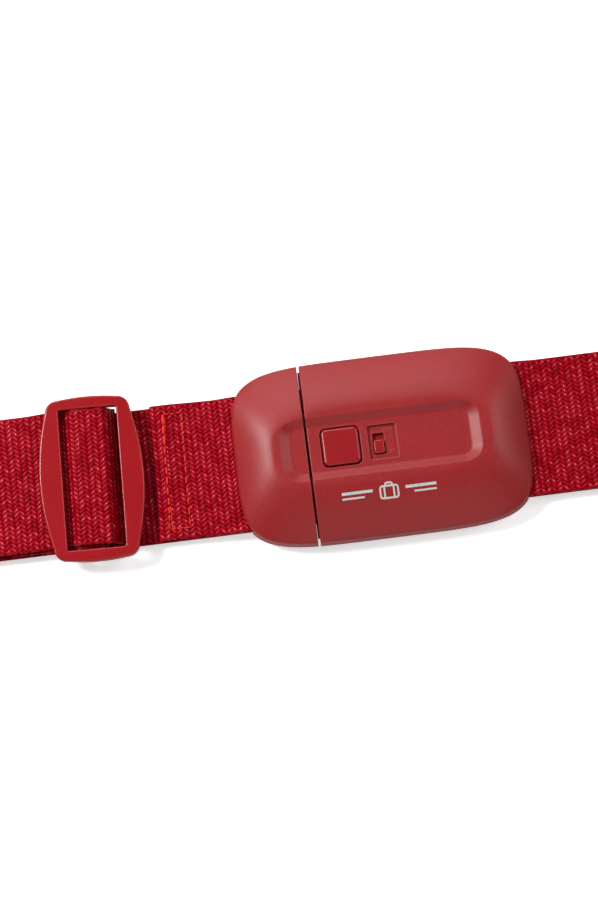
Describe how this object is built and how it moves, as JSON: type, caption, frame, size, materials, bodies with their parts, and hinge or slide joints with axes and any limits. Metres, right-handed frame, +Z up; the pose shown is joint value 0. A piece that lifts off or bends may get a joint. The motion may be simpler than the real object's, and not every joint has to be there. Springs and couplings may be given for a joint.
{
  "type": "luggage strap",
  "caption": "Closed loop of flat red webbing with a push-button side buckle, a small sliding lock and a three-bar length adjuster, lying flattened on a surface.",
  "frame": {"origin": "on the resting plane, under the middle of the buckle, which is also the middle of the flattened loop", "axes": "+X along the strap from the buckle's tongue half to its housing half, +Y across the webbing, +Z up out of the buckle's face"},
  "size_m": [0.4794, 0.0672, 0.017],
  "materials": {
    "housing_shell": "fine moulded texture, satin red",
    "tongue_shell": "fine moulded texture, satin red",
    "button_plastic": "smooth red",
    "lock_plastic": "smooth red",
    "adjuster_plastic": "smooth red with soft edges",
    "webbing": "woven polyester webbing in a zigzag weave, dull red",
    "thread": "bright orange-red sewing thread",
    "latch_acetal": "natural white acetal",
    "screw_steel": "zinc plated",
    "spring_steel": "bright wire"
  },
  "bodies": {
    "housing": {"housing_cover": "housing_shell", "housing_base": "housing_shell", "housing_screw_1": "screw_steel", "housing_screw_2": "screw_steel", "housing_screw_3": "screw_steel", "housing_screw_4": "screw_steel", "button_spring": "spring_steel", "webbing_housing_run": "webbing"},
    "tongue": {"tongue_cover": "tongue_shell", "tongue_base": "tongue_shell", "tongue_screw_1": "screw_steel", "tongue_screw_2": "screw_steel", "webbing_tongue_run": "webbing", "webbing_left_fold": "webbing", "box_seam": "thread"},
    "adjuster": {"adjuster_frame": "adjuster_plastic", "webbing_over_bar": "webbing", "webbing_bar_loop": "webbing", "bar_loop_seam": "thread", "webbing_upper_run": "webbing"},
    "button": {"release_button": "button_plastic"},
    "latch": {"latch_arm": "latch_acetal"},
    "lock": {"lock_slide": "lock_plastic"}
  },
  "joints": [
    {"name": "tongue_pull", "type": "slide", "parent": "housing", "child": "tongue", "axis": [-1, 0, 0], "range_m": [0, 0.036], "deforming": ["latch_arm"]},
    {"name": "adjuster_slide", "type": "slide", "parent": "tongue", "child": "adjuster", "axis": [-1, 0, 0], "range_m": [-0.004, 0.045], "deforming": ["webbing_upper_run"]},
    {"name": "button_press", "type": "slide", "parent": "housing", "child": "button", "axis": [0, 0, -1], "range_m": [0, 0.0018], "stiffness_N_per_m": 900, "deforming": ["button_spring"]},
    {"name": "latch_flex", "type": "hinge", "parent": "housing", "child": "latch", "pos_m": [0.02, 0, 0.0079], "axis": [0, -1, 0], "range_deg": [0, 3.8]},
    {"name": "lock_shift", "type": "slide", "parent": "housing", "child": "lock", "axis": [0, 1, 0], "range_m": [0, 0.0026]}
  ],
  "couplings": [
    {"joint": "latch_flex", "follows": "button_press", "rad_per_m": 36}
  ]
}
